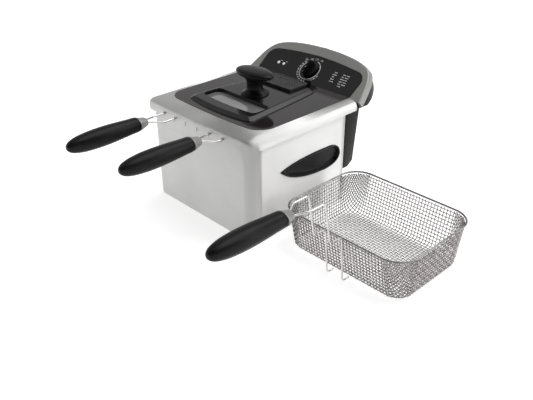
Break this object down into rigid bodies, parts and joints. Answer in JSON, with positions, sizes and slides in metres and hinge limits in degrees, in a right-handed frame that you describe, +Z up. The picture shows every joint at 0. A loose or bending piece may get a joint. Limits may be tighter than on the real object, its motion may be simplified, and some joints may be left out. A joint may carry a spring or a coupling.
{
  "type": "deep fryer",
  "caption": "Rectangular steel deep fryer with windowed lid, rear control head, fitted frying baskets with black grips and a large loose wire basket beside it.",
  "frame": {"origin": "under the centre of the fryer's housing, on the surface it stands on; the middle of the base pan is 2 mm above it", "axes": "+Z up, +Y from the basket grips towards the control head, +X to the right, where the loose basket stands"},
  "size_m": [0.543, 0.5362, 0.242],
  "materials": {
    "brushed_steel": "brushed, satin",
    "pot_steel": "drawn steel, semi-matt",
    "silver_plastic": "silver-grey lacquer",
    "chromed_wire": "bright plated wire",
    "black_plastic": "fine satin moulding",
    "gloss_black": "high gloss",
    "window_glass": "clear, polished",
    "rubber": "matt",
    "lamp_lens": "translucent",
    "filter_felt": "felted",
    "element_steel": "heat-darkened",
    "switch_plastic": "moulded"
  },
  "bodies": {
    "housing": {"housing_shell": "brushed_steel", "base_pan": "pot_steel", "foot_front_left": "rubber", "foot_rear_left": "rubber", "foot_front_right": "rubber", "foot_rear_right": "rubber", "side_grip_left": "black_plastic", "side_grip_right": "black_plastic", "head_rail_left": "brushed_steel", "head_rail_right": "brushed_steel"},
    "pot": {"oil_pot": "pot_steel"},
    "lid": {"lid_shell": "brushed_steel", "lid_insert": "gloss_black", "window_frame": "black_plastic", "window_glass": "window_glass", "vent_grille": "black_plastic", "filter_pad": "filter_felt", "lid_liner": "pot_steel", "lid_gasket": "rubber", "handle_stem": "black_plastic", "handle_cap": "black_plastic", "handle_screw": "chromed_wire", "lid_catch": "black_plastic"},
    "control_head": {"head_bezel": "silver_plastic", "control_panel": "black_plastic", "head_casing": "black_plastic", "rear_box": "black_plastic", "rear_cover": "black_plastic", "rear_cover_screw_1": "chromed_wire", "rear_cover_screw_2": "chromed_wire", "power_inlet": "gloss_black", "lamp_power": "lamp_lens", "lamp_ready": "lamp_lens", "thermostat_body": "pot_steel", "thermal_cutout": "switch_plastic", "terminal_block": "switch_plastic", "microswitch": "switch_plastic", "element_bracket": "brushed_steel", "heating_element": "element_steel", "sensor_bulb": "chromed_wire"},
    "knob": {"thermostat_knob": "black_plastic", "thermostat_shaft": "chromed_wire"},
    "reset": {"reset_button": "lamp_lens"},
    "left_basket": {"left_basket_mesh": "chromed_wire", "left_basket_rim": "chromed_wire", "left_basket_wire": "chromed_wire", "left_basket_ferrule": "silver_plastic", "left_basket_grip": "black_plastic"},
    "right_basket": {"right_basket_mesh": "chromed_wire", "right_basket_rim": "chromed_wire", "right_basket_wire": "chromed_wire", "right_basket_ferrule": "silver_plastic", "right_basket_grip": "black_plastic"},
    "large_basket": {"large_basket_mesh": "chromed_wire", "large_basket_rim": "chromed_wire", "large_basket_wire": "chromed_wire", "large_basket_ferrule": "silver_plastic", "large_basket_grip": "black_plastic"}
  },
  "joints": [
    {"name": "lid_lift", "type": "slide", "parent": "housing", "child": "lid", "axis": [0, 0, 1], "range_m": [0, 0.55]},
    {"name": "left_basket_lift", "type": "slide", "parent": "housing", "child": "left_basket", "axis": [0, 0, 1], "range_m": [0, 0.34]},
    {"name": "right_basket_lift", "type": "slide", "parent": "housing", "child": "right_basket", "axis": [0, 0, 1], "range_m": [0, 0.34]},
    {"name": "control_head_lift", "type": "slide", "parent": "housing", "child": "control_head", "axis": [0, 0, 1], "range_m": [0, 0.25]},
    {"name": "pot_lift", "type": "slide", "parent": "housing", "child": "pot", "axis": [0, 0, 1], "range_m": [0, 0.17]},
    {"name": "large_basket_lift", "type": "slide", "parent": "housing", "child": "large_basket", "axis": [0, 0, 1], "range_m": [0, 0.2]},
    {"name": "thermostat_turn", "type": "hinge", "parent": "control_head", "child": "knob", "pos_m": [0, 0.15312, 0.20617], "axis": [0, 0.599, -0.8007], "range_deg": [0, 270]},
    {"name": "reset_press", "type": "slide", "parent": "control_head", "child": "reset", "axis": [0, -1, 0], "range_m": [0, 0.0015], "stiffness_N_per_m": 400}
  ],
  "couplings": [
    {"joint": "left_basket_lift", "follows": "lid_lift", "ratio": 0.6},
    {"joint": "right_basket_lift", "follows": "lid_lift", "ratio": 0.6},
    {"joint": "control_head_lift", "follows": "lid_lift", "ratio": 0.45},
    {"joint": "pot_lift", "follows": "lid_lift", "ratio": 0.3}
  ]
}
